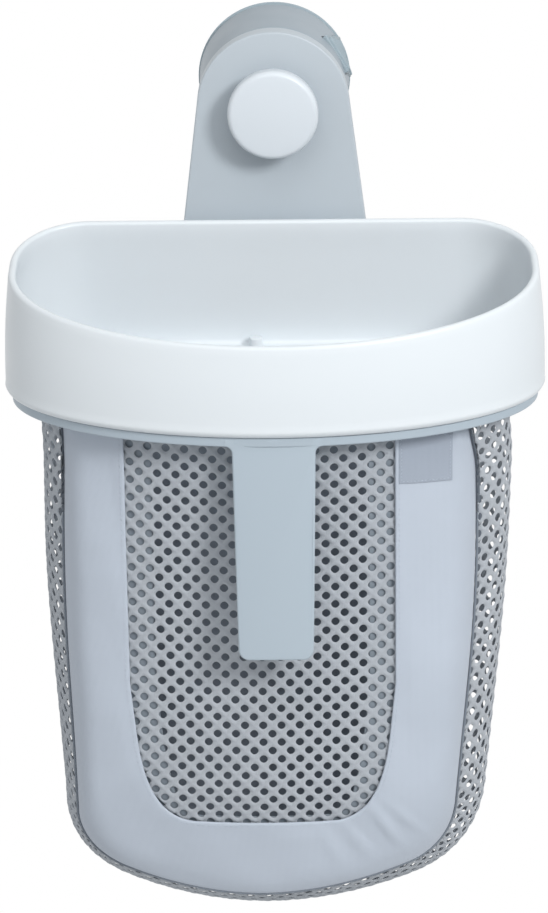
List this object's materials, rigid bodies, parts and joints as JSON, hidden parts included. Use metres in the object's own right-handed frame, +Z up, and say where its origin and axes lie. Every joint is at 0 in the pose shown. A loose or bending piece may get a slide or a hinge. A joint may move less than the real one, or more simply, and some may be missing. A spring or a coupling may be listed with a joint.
{
  "type": "bath toy organizer",
  "caption": "Scoop basket with a D-shaped rim, front handle and long mesh bag, hung on a hook plate that a screw-lock suction cup holds to a wall.",
  "frame": {"origin": "centre of the suction cup on the wall's face", "axes": "+Y into the wall, -Y towards the room, +Z up, +X to the right as seen from the room"},
  "size_m": [0.2298, 0.1693, 0.3835],
  "materials": {
    "soft_grey": "satin",
    "nylon": "satin",
    "grey_plastic": "satin",
    "brass_insert": "machined",
    "white_knob": "satin gloss",
    "white_rim": "satin gloss",
    "grey_handle": "satin",
    "steel_screw": "plain",
    "cloth": "smooth woven",
    "net": "open net",
    "binding": "ribbed tape"
  },
  "bodies": {
    "mount": {"suction_cup": "soft_grey", "housing_drum": "grey_plastic", "wall_bracket": "grey_plastic", "slip_washer": "nylon"},
    "stud": {"cup_stud": "nylon"},
    "knob": {"knob": "white_knob", "knob_insert": "brass_insert"},
    "basket": {"basket_rim": "white_rim", "handle_ring": "grey_handle", "ring_screw_1": "steel_screw", "ring_screw_2": "steel_screw", "ring_screw_3": "steel_screw", "ring_screw_4": "steel_screw", "ring_screw_5": "steel_screw", "ring_screw_6": "steel_screw", "hem_band": "net", "hem_strip": "nylon", "front_panel": "cloth", "window_net": "net", "gusset_net": "net", "back_panel": "cloth", "front_binding": "binding", "back_binding": "binding"}
  },
  "joints": [
    {"name": "knob_turn", "type": "hinge", "parent": "mount", "child": "knob", "pos_m": [0, 0, 0], "axis": [0, 1, 0], "range_deg": [-540, 0]},
    {"name": "stud_draw", "type": "slide", "parent": "mount", "child": "stud", "axis": [0, 1, 0], "range_m": [0, 0.003], "deforming": ["suction_cup"]},
    {"name": "basket_lift", "type": "slide", "parent": "mount", "child": "basket", "axis": [0, 0, 1], "range_m": [0, 0.022]}
  ],
  "couplings": [
    {"joint": "knob_turn", "follows": "stud_draw", "rad_per_m": -3141.5}
  ]
}
